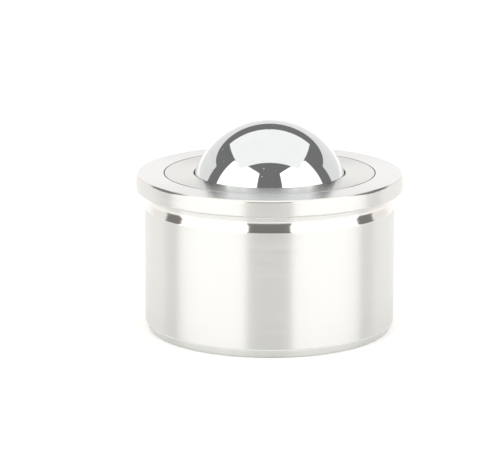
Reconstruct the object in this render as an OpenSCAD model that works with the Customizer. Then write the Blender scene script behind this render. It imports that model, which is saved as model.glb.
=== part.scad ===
// Ball transfer unit: a turned, flanged steel housing that drops into a round hole in a
// table. A large load ball stands out of its top and rolls on a bed of small support balls,
// which run in a hardened cup. A pressed-in cover ring keeps the load ball in.
// Millimetres, +Z up. The origin is on the axis at the underside of the housing.

/* [Load ball] */
// Diameter of the load ball
ball_d = 31.75; // [26:0.25:38]
// Height of the ball's top above the cover's face
ball_rise = 10.31; // [8:0.01:11]

/* [Ball bed] */
// Diameter of one support ball
support_d = 3.5; // [3.2:0.1:4]
// Gap between a support ball and each surface it runs on
running_gap = 0.05; // [0.03:0.01:0.08]
// Smallest gap between two support balls
neighbour_gap = 0.04; // [0.02:0.01:0.15]

/* [Load cup] */
// Wall of the hardened cup
cup_wall = 1.2; // [1:0.05:2.5]
// Height of the flat foot that is ground on the bottom of the cup
cup_foot_cut = 0.25; // [0.15:0.05:0.5]
// Gap between the cup and its seat in the housing
cup_seat_gap = 0.05; // [0.02:0.01:0.1]
// Chamfer on the cup's rim
cup_rim_chamfer = 0.3; // [0.1:0.05:0.45]

/* [Wiper ring] */
// Thickness of the felt wiper ring
wiper_t = 1.5; // [1:0.1:2]
// Gap above and below the wiper ring
wiper_play = 0.05; // [0.03:0.01:0.1]
// Gap between the wiper ring and the load ball
wiper_lip_gap = 0.06; // [0.03:0.01:0.1]
// Gap between the wiper ring and the housing's bore
wiper_edge_gap = 0.15; // [0.1:0.05:0.4]

/* [Cover ring] */
// Thickness of the cover ring
cover_t = 2.6; // [2.2:0.1:3.2]
// Gap all round the cover ring in its recess
cover_gap = 0.03; // [0.02:0.01:0.06]
// Small chamfer on the two edges that meet at the joint line
joint_chamfer = 0.12; // [0.05:0.01:0.25]
// Gap between the cover's lip and the load ball
lip_gap = 0.1; // [0.06:0.01:0.15]
// Height of the straight lip under the cover's face
lip_h = 0.5; // [0.3:0.05:0.8]
// Chamfer on the lip's upper edge
mouth_chamfer = 0.1; // [0.05:0.01:0.2]
// Widening below the lip, down to the cover's underside
throat_flare = 0.75; // [0.6:0.05:1]

/* [Housing] */
// Thickness of the housing's floor under the cup
floor_t = 5.51; // [4:0.01:12]
// Wall of the housing round the cup
housing_wall = 4.275; // [3:0.025:8]
// Width of the ledge that the cover ring lands on
ledge_w = 0.3; // [0.25:0.05:0.8]
// How far the flange stands out past the body
flange_out = 1.6; // [1:0.1:6]
// Thickness of the flange
flange_t = 3.35; // [2:0.05:5]
// Chamfer on the flange's upper outer edge
flange_top_chamfer = 0.35; // [0.1:0.05:0.8]
// Chamfer on the flange's lower outer edge
flange_low_chamfer = 0.3; // [0.1:0.05:0.6]
// Depth of the relief turned under the flange
relief_depth = 0.7; // [0.2:0.05:1]
// Height of the straight part of the relief
relief_straight = 1.35; // [0.5:0.05:2]
// Height of the hollow curve from the relief out to the body
cove_h = 1.95; // [1.5:0.05:5]
// Angle from upright at which the hollow curve leaves the relief
cove_start = 10; // [0:1:14]
// Height of the chamfer at the foot of the body
base_chamfer_h = 1.7; // [0.5:0.05:3]
// Width of the chamfer at the foot of the body
base_chamfer_w = 0.75; // [0.3:0.05:1.5]

/* [Hidden] */

$fn = 96;
support_fn = 32;
// Overrun of a cutting tool past the face that it cuts
eps = 0.5;

// Radii, from the ball outwards
ball_r = ball_d / 2;
support_r = support_d / 2;
track_r = ball_r + running_gap + support_r;
cup_in_r = track_r + support_r + running_gap;
cup_out_r = cup_in_r + cup_wall;
seat_r = cup_out_r + cup_seat_gap;
recess_r = seat_r + ledge_w;
cover_r = recess_r - cover_gap;
body_r = seat_r + housing_wall;
relief_r = body_r - relief_depth;
flange_r = body_r + flange_out;

// Heights, from the floor upwards
ball_z = floor_t - cup_foot_cut + cup_out_r;
face_z = ball_z + ball_r - ball_rise;
cover_low_z = face_z - cover_t;
wiper_top_z = cover_low_z - wiper_play;
wiper_low_z = wiper_top_z - wiper_t;
cup_rim_z = wiper_low_z - wiper_play;
flange_low_z = face_z - flange_t;
cove_top_z = flange_low_z - relief_straight;
cove_low_z = cove_top_z - cove_h;
lip_low_z = face_z - lip_h;

// The lip clears the ball at its lower edge, where the ball is widest
lip_r = sqrt(pow(ball_r + lip_gap, 2) - pow(lip_low_z - ball_z, 2));
throat_r = lip_r + throat_flare;

// The hollow curve under the relief: its last angle from upright, and its radius
cove_end = 2 * atan(relief_depth / cove_h) - cove_start;
cove_r = cove_h / (sin(cove_end) - sin(cove_start));
cove_steps = 6;

// Rings of support balls, as angles up from the bottom of the cup. The six and the twelve
// balls of the first two rings set the least step, and the last ring stops under the wiper.
pitch = support_d + neighbour_gap;
least_step = max(asin(pitch / track_r), asin(pitch / (2 * track_r * sin(15))) / 2);
top_angle = acos((ball_z - (cup_rim_z - support_r - running_gap)) / track_r);
ring_count = floor(top_angle / least_step);
ring_step = top_angle / ring_count;
function ring_r(k) = track_r * sin(k * ring_step);
function ring_z(k) = ball_z - track_r * cos(k * ring_step);
function balls_in_ring(k) = k == 1 ? 6 : k == 2 ? 12 : floor(180 / asin(pitch / 2 / ring_r(k)));
// Every other ring is turned by half a pitch
function ring_turn(k) = k % 2 * 180 / balls_in_ring(k);

// A round block between two heights, straight or tapered
module taper(r_low, r_top, z_low, z_top) {
    translate([0, 0, z_low])
        cylinder(r1 = r_low, r2 = r_top, h = z_top - z_low);
}

// Outside of the housing: foot chamfer, body, cove, relief and flange
module housing_outside() {
    cove = [
        for (i = [1:cove_steps])
            let (a = cove_end + (cove_start - cove_end) * i / cove_steps)
                [
                    relief_r + cove_r * (cos(cove_start) - cos(a)),
                    cove_top_z - cove_r * (sin(a) - sin(cove_start))
                ]
    ];
    rotate_extrude()
        polygon(concat(
            [
                [0, 0],
                [body_r - base_chamfer_w, 0],
                [body_r, base_chamfer_h],
                [body_r, cove_low_z]
            ],
            cove,
            [
                [relief_r, flange_low_z],
                [flange_r - flange_low_chamfer, flange_low_z],
                [flange_r, flange_low_z + flange_low_chamfer],
                [flange_r, face_z - flange_top_chamfer],
                [flange_r - flange_top_chamfer, face_z],
                [0, face_z]
            ]
        ));
}

// Inside of the housing: flat floor, round seat, bore, and the recess for the cover
module housing_cavity() {
    intersection() {
        translate([0, 0, ball_z])
            sphere(r = seat_r);
        taper(seat_r + eps, seat_r + eps, floor_t, ball_z);
    }
    taper(seat_r, seat_r, min(ball_z, cup_rim_z), cover_low_z);
    taper(recess_r, recess_r, cover_low_z, face_z + eps);
    taper(
        recess_r,
        recess_r + joint_chamfer + eps,
        face_z - joint_chamfer,
        face_z + eps
    );
}

module housing() {
    color([0.80, 0.80, 0.78])
        difference() {
            housing_outside();
            housing_cavity();
        }
}

// A round-bottomed pot about the ball's centre, straight above it: outside or inside of the cup
module pot(r) {
    translate([0, 0, ball_z])
        sphere(r = r);
    taper(r, r, ball_z, ball_z + cup_out_r);
}

// Hardened cup: round inside and outside, with a flat foot and a chamfered rim
module load_cup() {
    color([0.62, 0.63, 0.65])
        difference() {
            intersection() {
                pot(cup_out_r);
                union() {
                    taper(
                        cup_out_r + eps,
                        cup_out_r + eps,
                        floor_t,
                        cup_rim_z - cup_rim_chamfer - eps
                    );
                    taper(
                        cup_out_r + eps,
                        cup_out_r - cup_rim_chamfer,
                        cup_rim_z - cup_rim_chamfer - eps,
                        cup_rim_z
                    );
                }
            }
            pot(cup_in_r);
        }
}

module load_ball() {
    color([0.86, 0.87, 0.88])
        translate([0, 0, ball_z])
            sphere(r = ball_r);
}

// Felt ring whose inner edge follows the ball
module wiper_ring() {
    color([0.22, 0.22, 0.23])
        difference() {
            taper(
                seat_r - wiper_edge_gap,
                seat_r - wiper_edge_gap,
                wiper_low_z,
                wiper_top_z
            );
            translate([0, 0, ball_z])
                sphere(r = ball_r + wiper_lip_gap);
        }
}

// Cover ring: a narrow lip at the face that holds the ball, and a throat below it
module cover_ring() {
    color([0.74, 0.74, 0.73])
        rotate_extrude()
            polygon([
                [throat_r, cover_low_z],
                [cover_r, cover_low_z],
                [cover_r, face_z - joint_chamfer],
                [cover_r - joint_chamfer, face_z],
                [lip_r + mouth_chamfer, face_z],
                [lip_r, face_z - mouth_chamfer],
                [lip_r, lip_low_z]
            ]);
}

// Support ball number i of ring k, counted from 1. Ring 0 is the ball at the bottom.
module support_ball(k, i) {
    color([0.82, 0.83, 0.85])
        rotate([0, 0, k == 0 ? 0 : ring_turn(k) + (i - 1) * 360 / balls_in_ring(k)])
            translate([ring_r(k), 0, ring_z(k)])
                sphere(r = support_r, $fn = support_fn);
}

// All support balls of the rings from k_low to k_top
module support_rings(k_low, k_top) {
    for (k = [k_low:k_top])
        for (i = [1:balls_in_ring(k)])
            support_ball(k, i);
}

housing();
load_cup();
load_ball();
wiper_ring();
cover_ring();
support_ball(0, 1);  // support_ball_centre
for (i = [1:6])
    support_ball(1, i);
for (i = [1:12])
    support_ball(2, i);
support_rings(3, 3);  // support_balls_third_ring
support_rings(4, 4);  // support_balls_fourth_ring
support_rings(5, ring_count);  // support_balls_upper_rings
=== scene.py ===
import bpy
import numpy as np
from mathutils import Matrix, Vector


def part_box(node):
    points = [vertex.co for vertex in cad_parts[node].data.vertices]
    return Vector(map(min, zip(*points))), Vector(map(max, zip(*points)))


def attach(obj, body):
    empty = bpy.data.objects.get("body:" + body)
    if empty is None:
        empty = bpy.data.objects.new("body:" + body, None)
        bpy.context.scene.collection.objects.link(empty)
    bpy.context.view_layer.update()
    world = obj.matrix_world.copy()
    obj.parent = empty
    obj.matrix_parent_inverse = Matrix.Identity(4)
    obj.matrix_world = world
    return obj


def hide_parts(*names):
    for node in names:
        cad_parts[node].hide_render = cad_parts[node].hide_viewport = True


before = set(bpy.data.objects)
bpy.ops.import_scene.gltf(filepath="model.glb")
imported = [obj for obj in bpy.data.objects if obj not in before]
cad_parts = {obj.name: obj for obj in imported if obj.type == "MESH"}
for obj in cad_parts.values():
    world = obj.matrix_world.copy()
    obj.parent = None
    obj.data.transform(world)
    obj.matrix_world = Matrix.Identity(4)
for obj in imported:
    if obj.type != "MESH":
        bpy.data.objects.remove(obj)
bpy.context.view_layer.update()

# ---------------------------------------------------------------- camera
# A long lens that looks down on the unit by about 13 degrees. The unit's axis stands a
# little right of the middle of the frame.
camera_at = Vector((0.0, -0.4725, 0.1321))
camera_aim = Vector((-0.0039, 0.0, 0.0182))
camera = bpy.data.objects.new("camera", bpy.data.cameras.new("camera"))
camera.data.lens = 174.5
camera.data.sensor_width = 36.0
camera.data.clip_start = 0.01
camera.data.clip_end = 20.0
camera.location = camera_at
camera.rotation_euler = (camera_aim - camera_at).to_track_quat("-Z", "Y").to_euler()
bpy.context.scene.collection.objects.link(camera)
bpy.context.scene.camera = camera
bpy.context.scene.view_settings.view_transform = "Standard"


# ---------------------------------------------------------------- studio
# White paper on the floor, two equal softboxes in front of the unit, left and right of the
# camera, and a flat panel overhead. The room round them is an even grey, with a white backdrop
# behind the unit, and the paper turns up a little at the walls. Lamps that the metal doesn't
# mirror fill the paper with light.
warm_white = (1.0, 0.985, 0.965, 1.0)
softbox_side = 1.1
softbox_away = 0.8
softbox_turn = 55
softbox_light = 2.0
panel_wide = 1.5
panel_deep = 1.2
panel_up = 0.9
panel_back = 0.2
panel_light = 1.4
floor_half = 0.5


def directions(azimuth, elevation):
    """Unit vectors: azimuth turns from -Y towards +X, elevation rises above the floor."""
    a, e = np.radians(azimuth), np.radians(elevation)
    return np.stack([np.sin(a) * np.cos(e), -np.cos(a) * np.cos(e), np.sin(e + 0 * a)], -1)


def grid_faces(rows, columns):
    """Quads of a grid of rows x columns points: each joins a point, its right neighbour,
    and the two points of the next row."""
    first = (np.arange(rows - 1)[:, None] * columns + np.arange(columns - 1)).ravel()
    return np.stack([first, first + 1, first + columns + 1, first + columns], -1)


def glowing_sheet(name, points, strength, mirrored=True):
    """A grid of points (rows, columns, 3) that gives off an even warm white light. The camera
    sees past it to the white surround, and where it isn't mirrored it lights only what is matt."""
    rows, columns, _ = points.shape
    mesh = bpy.data.meshes.new(name)
    mesh.from_pydata(points.reshape(-1, 3).tolist(), [], grid_faces(rows, columns).tolist())
    paint = bpy.data.materials.new(name)
    paint.use_nodes = True
    tree = paint.node_tree
    tree.nodes.clear()
    glow = tree.nodes.new("ShaderNodeEmission")
    glow.inputs["Color"].default_value = warm_white
    glow.inputs["Strength"].default_value = strength
    out = tree.nodes.new("ShaderNodeOutputMaterial")
    tree.links.new(glow.outputs[0], out.inputs["Surface"])
    mesh.materials.append(paint)
    sheet = bpy.data.objects.new(name, mesh)
    sheet.visible_camera = False
    sheet.visible_glossy = mirrored
    bpy.context.scene.collection.objects.link(sheet)


def flat_panel(name, middle, across, along, strength):
    """A glowing rectangle about its middle. Across and along are its two sides as vectors."""
    half = np.array([-0.5, 0.5])
    points = middle + half[None, :, None] * np.array(across) + half[:, None, None] * np.array(along)
    glowing_sheet(name, points, strength)


def dome_part(name, turns, heights, radius, strength, mirrored=True):
    """Part of a ball about the unit, between two azimuths and between two elevations."""
    azimuth = np.linspace(*turns, 73)[None, :]
    elevation = np.linspace(*heights, 25)[:, None]
    glowing_sheet(name, directions(azimuth, elevation) * radius, strength, mirrored)


for name, turn in (("softbox_left", -softbox_turn), ("softbox_right", softbox_turn)):
    flat_panel(
        name,
        directions(turn, 0) * softbox_away + [0, 0, softbox_side / 2],
        directions(turn + 90, 0) * softbox_side,
        [0, 0, softbox_side],
        softbox_light,
    )
flat_panel(
    "panel_overhead",
    [0, panel_back, panel_up],
    [panel_wide, 0, 0],
    [0, panel_deep, 0],
    panel_light,
)
all_round = (-180, 180)
behind = (110, 250)
dome_part("grey_room", all_round, heights=(-8, 90), radius=2.0, strength=0.25)
dome_part("backdrop", behind, heights=(-8, 28), radius=1.9, strength=1.1)
dome_part("paper_edge", all_round, heights=(-8, 5), radius=1.8, strength=1.3)
dome_part("fill_lamps", all_round, heights=(25, 90), radius=1.7, strength=0.96, mirrored=False)

paper = bpy.data.materials.new("white_paper")
paper.use_nodes = True
tree = paper.node_tree
paper_skin = tree.nodes["Principled BSDF"]
paper_skin.inputs["Roughness"].default_value = 0.9
paper_skin.inputs["Specular IOR Level"].default_value = 0.1
paper_skin.inputs["Emission Color"].default_value = (1.0, 0.995, 0.98, 1.0)
paper_skin.inputs["Emission Strength"].default_value = 0.06
paper_place = tree.nodes.new("ShaderNodeTexCoord")
paper_grain = tree.nodes.new("ShaderNodeTexNoise")
paper_grain.inputs["Scale"].default_value = 900.0
paper_white = tree.nodes.new("ShaderNodeMapRange")
paper_white.inputs["To Min"].default_value = 0.90
paper_white.inputs["To Max"].default_value = 0.94
tree.links.new(paper_place.outputs["Object"], paper_grain.inputs["Vector"])
tree.links.new(paper_grain.outputs["Fac"], paper_white.inputs["Value"])
tree.links.new(paper_white.outputs[0], paper_skin.inputs["Base Color"])
floor_mesh = bpy.data.meshes.new("floor")
floor_corners = [(x * floor_half, y * floor_half, 0) for x, y in ((-1, -1), (1, -1), (1, 1), (-1, 1))]
floor_mesh.from_pydata(floor_corners, [], [(0, 1, 2, 3)])
floor_mesh.materials.append(paper)
floor = bpy.data.objects.new("floor", floor_mesh)
bpy.context.scene.collection.objects.link(floor)

world = bpy.data.worlds.new("white_surround")
world.use_nodes = True
world.node_tree.nodes["Background"].inputs["Color"].default_value = (1, 1, 1, 1)
world.node_tree.nodes["Background"].inputs["Strength"].default_value = 1.1
bpy.context.scene.world = world


# ---------------------------------------------------------------- housing
# Turned from one bar of bright steel: flange, relief and cove under it, plain body and foot
# chamfer outside; seat, bore and the cover's recess inside. Left as it comes off the lathe.
seat_gap = 0.05
cover_gap = 0.03
flange_out = 1.6
flange_t = 3.35
flange_top_edge = 0.35
flange_low_edge = 0.3
relief_depth = 0.7
relief_straight = 1.35
cove_h = 1.95
foot_h = 1.7
foot_w = 0.75
joint_edge = 0.12
joint_mouth = 0.05
# The cove leaves the relief by a short start and then runs straight out to the body
cove_start_out = 0.06
cove_start_down = 0.48


def outer_sizes(node):
    """Lowest height, outside radius and highest height of a round node, in millimetres."""
    low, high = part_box(node)
    return 1000 * low.z, 1000 * high.x, 1000 * high.z


_, flange_r, face_z = outer_sizes("housing")
cup_low_z, cup_out_r, _ = outer_sizes("load_cup")
cover_low_z, cover_r, _ = outer_sizes("cover_ring")
ball_low_z, ball_r, ball_top_z = outer_sizes("load_ball")
ball_z = (ball_low_z + ball_top_z) / 2
seat_r = cup_out_r + seat_gap
recess_r = cover_r + cover_gap
body_r = flange_r - flange_out
relief_r = body_r - relief_depth
flange_low_z = face_z - flange_t
cove_top_z = flange_low_z - relief_straight
cove_low_z = cove_top_z - cove_h


def eased(corners, ease, steps=4, hold=0.03):
    """A run of corners (radius, height) whose inner corners are eased. Each becomes the
    curve (1-s)^2 A + 2s(1-s) C + s^2 B between points A and B that lie the ease before and
    after it, with one more point beyond each so that the flats stay flat."""
    c = np.array(corners, float)
    e = np.broadcast_to(np.array(ease, float), (len(c) - 2,))[:, None]
    back, on = c[:-2] - c[1:-1], c[2:] - c[1:-1]
    back /= np.linalg.norm(back, axis=1, keepdims=True)
    on /= np.linalg.norm(on, axis=1, keepdims=True)
    middle = c[1:-1]
    a, b = (middle + back * e)[:, None], (middle + on * e)[:, None]
    s = np.linspace(0, 1, steps)[None, :, None]
    curve = (1 - s) ** 2 * a + 2 * s * (1 - s) * middle[:, None] + s**2 * b
    before = (middle + back * (e + hold))[:, None]
    after = (middle + on * (e + hold))[:, None]
    inner = np.concatenate([before, curve, after], 1).reshape(-1, 2)
    return np.vstack([c[:1], inner, c[-1:]])


def turned(name, outline, finishes, finish_of, sectors=384):
    """The outline carried once round Z: x = r cos u, y = r sin u, z = height. An outline
    that starts and ends on the axis is closed there by fans, and any other one joins its
    end to its start. The map "lathe" keeps the turn as U and the length along the outline,
    in millimetres, as V; finish_of picks each band's finish from its middle."""
    solid = outline[0, 0] == 0
    walk = outline if solid else np.vstack([outline, outline[:1]])
    length = np.concatenate([[0], np.cumsum(np.hypot(*np.diff(walk, axis=0).T))])
    rings = outline[1:-1] if solid else outline
    u = np.linspace(0, 2 * np.pi, sectors, endpoint=False)
    r, z = rings[:, :1], rings[:, 1:]
    points = np.stack([r * np.cos(u), r * np.sin(u), z + 0 * u], -1).reshape(-1, 3)
    j = np.arange(sectors)
    turn = (j + 1) % sectors
    if solid:
        low = np.arange(len(rings) - 1)[:, None] * sectors
        high = low + sectors
    else:
        low = np.arange(len(rings))[:, None] * sectors
        high = (low + sectors) % (len(rings) * sectors)
    quads = np.stack([low + j, low + turn, high + turn, high + j], -1).reshape(-1, 4)
    v = length[1:-1] if solid else length
    side = np.broadcast_to(np.stack([j, j + 1, j + 1, j], -1), (len(low), sectors, 4))
    rise = np.stack([v[:-1], v[:-1], v[1:], v[1:]], -1)[:, None, :]
    rise = np.broadcast_to(rise, side.shape)
    uv = np.stack([side / sectors, rise], -1).reshape(-1, 2)
    faces = quads.tolist()
    middle = (walk[:-1] + walk[1:]) / 2
    finish = finish_of(middle[:, 0], middle[:, 1])
    if solid:
        pole = len(points)
        points = np.vstack([points, [0, 0, outline[0, 1]], [0, 0, outline[-1, 1]]])
        last = (len(rings) - 1) * sectors
        start = np.stack([0 * j + pole, turn, j], -1)
        end = np.stack([last + j, last + turn, 0 * j + pole + 1], -1)
        faces = faces + start.tolist() + end.tolist()
        start_turn = np.stack([j + 0.5, j + 1, j], -1) / sectors
        start_rise = v[0] * np.ones((sectors, 3)) * [0, 1, 1]
        start_uv = np.stack([start_turn, start_rise], -1)
        end_turn = np.stack([j, j + 1, j + 0.5], -1) / sectors
        end_rise = np.ones((sectors, 3)) * [v[-1], v[-1], length[-1]]
        end_uv = np.stack([end_turn, end_rise], -1)
        uv = np.vstack([uv, start_uv.reshape(-1, 2), end_uv.reshape(-1, 2)])
        finish = np.concatenate([finish[1:-1], finish[:1], finish[-1:]])
    mesh = bpy.data.meshes.new(name)
    mesh.from_pydata((points / 1000).tolist(), [], faces)
    mesh.uv_layers.new(name="lathe").data.foreach_set("uv", uv.ravel().astype(np.float32))
    mesh.polygons.foreach_set("material_index", np.repeat(finish, sectors).astype(np.int32))
    mesh.polygons.foreach_set("use_smooth", np.ones(len(faces), bool))
    for paint in finishes:
        mesh.materials.append(paint)
    mesh.update()
    piece = bpy.data.objects.new(name, mesh)
    bpy.context.scene.collection.objects.link(piece)
    return piece


def lathe_steel(name, light, dark, rough, spread, groove, edge=1.0):
    """Bright steel with the marks of the lathe. The shine spreads across the marks: spread
    is the anisotropy, turned a quarter from the turning direction. Fine noise stretched
    along the turn makes the marks; slower noise varies colour and roughness in bands. The
    edge is the share of light that is left where the steel is seen at a glancing angle."""
    steel = bpy.data.materials.new(name)
    steel.use_nodes = True
    tree = steel.node_tree
    skin = tree.nodes["Principled BSDF"]
    skin.inputs["Metallic"].default_value = 1.0
    skin.inputs["Anisotropic"].default_value = spread
    skin.inputs["Anisotropic Rotation"].default_value = 0.25
    skin.inputs["Specular Tint"].default_value = (edge, edge, edge, 1.0)
    place = tree.nodes.new("ShaderNodeUVMap")
    place.uv_map = "lathe"
    tangent = tree.nodes.new("ShaderNodeTangent")
    tangent.direction_type = "UV_MAP"
    tangent.uv_map = "lathe"
    tree.links.new(tangent.outputs[0], skin.inputs["Tangent"])

    def noise(turns, per_mm, detail):
        """Noise over the lathe map: so many spots in one turn, and so many per millimetre."""
        mapping = tree.nodes.new("ShaderNodeMapping")
        mapping.inputs["Scale"].default_value = (turns, per_mm, 1.0)
        tree.links.new(place.outputs[0], mapping.inputs["Vector"])
        texture = tree.nodes.new("ShaderNodeTexNoise")
        texture.inputs["Scale"].default_value = 1.0
        texture.inputs["Detail"].default_value = detail
        tree.links.new(mapping.outputs[0], texture.inputs["Vector"])
        return texture.outputs["Fac"]

    marks = noise(turns=2.0, per_mm=9.0, detail=2.0)
    bands = noise(turns=3.0, per_mm=1.1, detail=3.0)
    tone = tree.nodes.new("ShaderNodeMix")
    tone.data_type = "RGBA"
    tone.inputs[6].default_value = (*dark, 1.0)
    tone.inputs[7].default_value = (*light, 1.0)
    tree.links.new(bands, tone.inputs[0])
    tree.links.new(tone.outputs[2], skin.inputs["Base Color"])
    roughness = tree.nodes.new("ShaderNodeMapRange")
    roughness.inputs["From Min"].default_value = 0.25
    roughness.inputs["From Max"].default_value = 0.75
    roughness.inputs["To Min"].default_value = rough * 0.9
    roughness.inputs["To Max"].default_value = rough * 1.1
    tree.links.new(bands, roughness.inputs["Value"])
    tree.links.new(roughness.outputs[0], skin.inputs["Roughness"])
    bump = tree.nodes.new("ShaderNodeBump")
    bump.inputs["Strength"].default_value = groove
    bump.inputs["Distance"].default_value = 0.00001
    tree.links.new(marks, bump.inputs["Height"])
    tree.links.new(bump.outputs[0], skin.inputs["Normal"])
    return steel


turned_side = lathe_steel(
    "turned_side", (0.735, 0.738, 0.718), (0.695, 0.698, 0.678), 0.33, 1.0, 0.2, edge=0.94
)
turned_face = lathe_steel(
    "turned_face", (0.775, 0.778, 0.79), (0.735, 0.738, 0.748), 0.14, 1.0, 0.2
)
turned_relief = lathe_steel(
    "turned_relief", (0.69, 0.685, 0.67), (0.65, 0.645, 0.63), 0.27, 1.0, 0.15
)
turned_fine = lathe_steel(
    "turned_fine", (0.736, 0.718, 0.692), (0.696, 0.678, 0.652), 0.13, 0.9, 0.1
)

# Painted shade: a near-black matt finish for the walls of the joint round the cover, in place of the
# shadow in its gap
joint_painted_shade = bpy.data.materials.new("joint_painted_shade")
joint_painted_shade.use_nodes = True
skin = joint_painted_shade.node_tree.nodes["Principled BSDF"]
skin.inputs["Base Color"].default_value = (0.05, 0.048, 0.045, 1.0)
skin.inputs["Roughness"].default_value = 0.7

seat_angle = np.linspace(np.pi / 2, np.arccos((ball_z - cup_low_z) / seat_r), 24)
seat = [0, ball_z] + seat_r * np.stack([np.sin(seat_angle), -np.cos(seat_angle)], -1)
outside = [
    (0, 0),
    (body_r - foot_w, 0),
    (body_r, foot_h),
    (body_r, cove_low_z),
    (relief_r + cove_start_out, cove_top_z - cove_start_down),
    (relief_r, cove_top_z),
    (relief_r, flange_low_z),
    (flange_r - flange_low_edge, flange_low_z),
    (flange_r, flange_low_z + flange_low_edge),
    (flange_r, face_z - flange_top_edge),
    (flange_r - flange_top_edge, face_z),
    (recess_r + joint_edge, face_z),
    (recess_r, face_z - joint_edge),
    (recess_r, cover_low_z),
    (seat_r, cover_low_z),
    tuple(seat[0]),
]
# How far each inner corner is eased, from the foot up the outside and down to the seat
outside_ease = [0.25, 0.25, 0.12, 0.26, 0.15, 0.06, 0.04, 0.04, 0.1, 0.1, 0.02, 0.02, 0.03, 0.04]
housing_outline = np.vstack([eased(outside, outside_ease), seat[1:], [(0, cup_low_z)]])


def housing_finish(r, z):
    """Which finish a band has, from its middle: the face's 1 on the flats and at the top of the foot
    chamfer, where its lighter colour is partly a painted highlight, the fine 2 in the cove and on the
    flange's upper edge, the relief's 3 in the relief and under the flange, the painted shade 4 in the
    recess's joint, the side's 0 elsewhere."""
    near = 0.01
    outer = r > relief_r - 1
    flat = (z < near) | (z > face_z - near)
    cove_band = (z > cove_low_z - 2 * near) & (z < cove_top_z + 5 * near) & outer
    edge = (z > face_z - flange_top_edge - near) & (r > flange_r - flange_top_edge - near)
    relief = (z > cove_top_z) & (z < flange_low_z + flange_low_edge - near) & outer
    # Band at the top of the foot chamfer given the face finish: its smoother skin is real, its
    # lighter colour a painted highlight along the edge
    foot_highlight_band = np.abs(z - foot_h) < 10 * near
    # Walls of the recess's joint below its mouth: near-black painted shade of the gap
    joint = (z > cover_low_z) & (z < face_z - joint_mouth) & (r < recess_r + joint_edge + near)
    return np.select([cove_band, edge, flat | foot_highlight_band, relief, joint], [2, 2, 1, 3, 4], 0)


housing = turned(
    "housing_turned",
    housing_outline,
    [turned_side, turned_face, turned_fine, turned_relief, joint_painted_shade],
    housing_finish,
)
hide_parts("housing")
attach(housing, "housing_body")


# ---------------------------------------------------------------- load cup
# Deep-drawn and hardened cup that the support balls run on. It drops into the round seat;
# hardening leaves it a darker grey, and the balls polish the inside.
def ground_steel(name, light, dark, rough, pits=0.0):
    """Hardened steel, ground or polished: two close greys mixed by noise, a roughness that
    drifts by about a seventh, and here and there a pit where the skin is rough. Pits gives
    the radius of the largest pit, as a share of a cell of about 1 mm; none are drawn at 0."""
    steel = bpy.data.materials.new(name)
    steel.use_nodes = True
    tree = steel.node_tree
    skin = tree.nodes["Principled BSDF"]
    skin.inputs["Metallic"].default_value = 1.0
    place = tree.nodes.new("ShaderNodeTexCoord")
    cloud = tree.nodes.new("ShaderNodeTexNoise")
    cloud.inputs["Scale"].default_value = 400.0
    cloud.inputs["Detail"].default_value = 4.0
    tree.links.new(place.outputs["Object"], cloud.inputs["Vector"])
    tone = tree.nodes.new("ShaderNodeMix")
    tone.data_type = "RGBA"
    tone.inputs[6].default_value = (*dark, 1.0)
    tone.inputs[7].default_value = (*light, 1.0)
    tree.links.new(cloud.outputs["Fac"], tone.inputs[0])
    tree.links.new(tone.outputs[2], skin.inputs["Base Color"])
    roughness = tree.nodes.new("ShaderNodeMapRange")
    roughness.inputs["From Min"].default_value = 0.3
    roughness.inputs["From Max"].default_value = 0.7
    roughness.inputs["To Min"].default_value = rough * 0.85
    roughness.inputs["To Max"].default_value = rough * 1.15
    tree.links.new(cloud.outputs["Fac"], roughness.inputs["Value"])
    cells = tree.nodes.new("ShaderNodeTexVoronoi")
    cells.inputs["Scale"].default_value = 1000.0
    tree.links.new(place.outputs["Object"], cells.inputs["Vector"])
    reach = tree.nodes.new("ShaderNodeMapRange")
    reach.inputs["From Min"].default_value = 0.5
    reach.inputs["To Min"].default_value = 0.0
    reach.inputs["To Max"].default_value = pits
    tree.links.new(cells.outputs["Color"], reach.inputs["Value"])
    pitted = tree.nodes.new("ShaderNodeMath")
    pitted.operation = "LESS_THAN"
    tree.links.new(cells.outputs["Distance"], pitted.inputs[0])
    tree.links.new(reach.outputs[0], pitted.inputs[1])
    dull = tree.nodes.new("ShaderNodeMath")
    dull.operation = "MULTIPLY_ADD"
    dull.inputs[1].default_value = 0.3
    tree.links.new(pitted.outputs[0], dull.inputs[0])
    tree.links.new(roughness.outputs[0], dull.inputs[2])
    tree.links.new(dull.outputs[0], skin.inputs["Roughness"])
    return steel


hardened = ground_steel("hardened_steel_cup", (0.48, 0.48, 0.49), (0.38, 0.385, 0.40), 0.3)
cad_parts["load_cup"].material_slots[0].material = hardened


# ---------------------------------------------------------------- support balls
# Bearing balls of hardened chrome steel, lapped to a mirror, loose in the cup in rings.
lapped = ground_steel("support_ball_lapped", (0.66, 0.67, 0.68), (0.60, 0.61, 0.62), 0.08)
for name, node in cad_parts.items():
    if name.startswith("support_ball"):
        node.material_slots[0].material = lapped


# ---------------------------------------------------------------- load ball
# One bearing ball of 31.75 mm (1 1/4 inch), ground and polished. It lies on the support
# balls, and table goods roll on its top.
t = np.linspace(0, np.pi, 163)
ball_outline = [0, ball_z] + ball_r * np.stack([np.sin(t), -np.cos(t)], -1)
ball_outline[[0, -1], 0] = 0
polished = ground_steel(
    "load_ball_polished", (0.65, 0.672, 0.678), (0.61, 0.632, 0.638), 0.045, pits=0.28
)
ball = turned("load_ball_polished", ball_outline, [polished], lambda r, z: 0 * r, sectors=256)
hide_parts("load_ball")
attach(ball, "ball_body")


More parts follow.
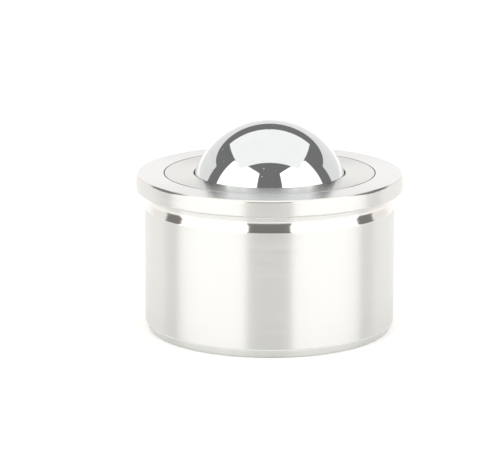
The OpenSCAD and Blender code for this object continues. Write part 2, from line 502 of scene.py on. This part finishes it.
# ---------------------------------------------------------------- wiper ring
# Punched from pressed wool felt and laid on the cup's rim. It wipes the ball as it turns.
felt = bpy.data.materials.new("pressed_felt")
felt.use_nodes = True
tree = felt.node_tree
skin = tree.nodes["Principled BSDF"]
skin.inputs["Roughness"].default_value = 0.95
skin.inputs["Sheen Weight"].default_value = 0.4
skin.inputs["Sheen Roughness"].default_value = 0.6
place = tree.nodes.new("ShaderNodeTexCoord")
fibres = tree.nodes.new("ShaderNodeTexNoise")
fibres.inputs["Scale"].default_value = 2500.0
fibres.inputs["Detail"].default_value = 6.0
fibres.inputs["Distortion"].default_value = 1.5
tree.links.new(place.outputs["Object"], fibres.inputs["Vector"])
shade = tree.nodes.new("ShaderNodeMix")
shade.data_type = "RGBA"
shade.inputs[6].default_value = (0.012, 0.012, 0.013, 1.0)
shade.inputs[7].default_value = (0.05, 0.05, 0.052, 1.0)
tree.links.new(fibres.outputs["Fac"], shade.inputs[0])
tree.links.new(shade.outputs[2], skin.inputs["Base Color"])
nap = tree.nodes.new("ShaderNodeBump")
nap.inputs["Strength"].default_value = 0.7
nap.inputs["Distance"].default_value = 0.00015
tree.links.new(fibres.outputs["Fac"], nap.inputs["Height"])
tree.links.new(nap.outputs[0], skin.inputs["Normal"])
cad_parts["wiper_ring"].material_slots[0].material = felt


# ---------------------------------------------------------------- cover ring
# Turned from the same steel and pressed flush into the flange. Its mouth is a narrow straight
# lip at the face, smaller than the ball, which keeps the ball in; below it the throat is wider.
lip_h = 0.5
lip_gap = 0.1
mouth_edge = 0.1
throat_flare = 0.75
lip_low_z = face_z - lip_h
lip_r = np.sqrt((ball_r + lip_gap) ** 2 - (lip_low_z - ball_z) ** 2)
throat_r = lip_r + throat_flare
cover_corners = [
    (throat_r, cover_low_z),
    (cover_r, cover_low_z),
    (cover_r, face_z - joint_edge),
    (cover_r - joint_edge, face_z),
    (lip_r + mouth_edge, face_z),
    (lip_r, face_z - mouth_edge),
    (lip_r, lip_low_z),
]
cover_start = ((throat_r + cover_r) / 2, cover_low_z)
cover_outline = eased(
    [cover_start] + cover_corners[1:] + cover_corners[:1] + [cover_start],
    [0.03, 0.02, 0.02, 0.02, 0.02, 0.03, 0.03],
)[:-1]
cover_steel = lathe_steel(
    "cover_face", (0.68, 0.685, 0.672), (0.64, 0.645, 0.632), 0.175, 1.0, 0.2
)
cover = turned(
    "cover_ring_turned",
    cover_outline,
    [cover_steel, joint_painted_shade],
    # The cover's joint wall below its mouth takes the near-black painted shade of the gap
    lambda r, z: (z < face_z - joint_mouth) & (r > cover_r - joint_edge - 0.01),
)
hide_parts("cover_ring")
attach(cover, "housing_body")
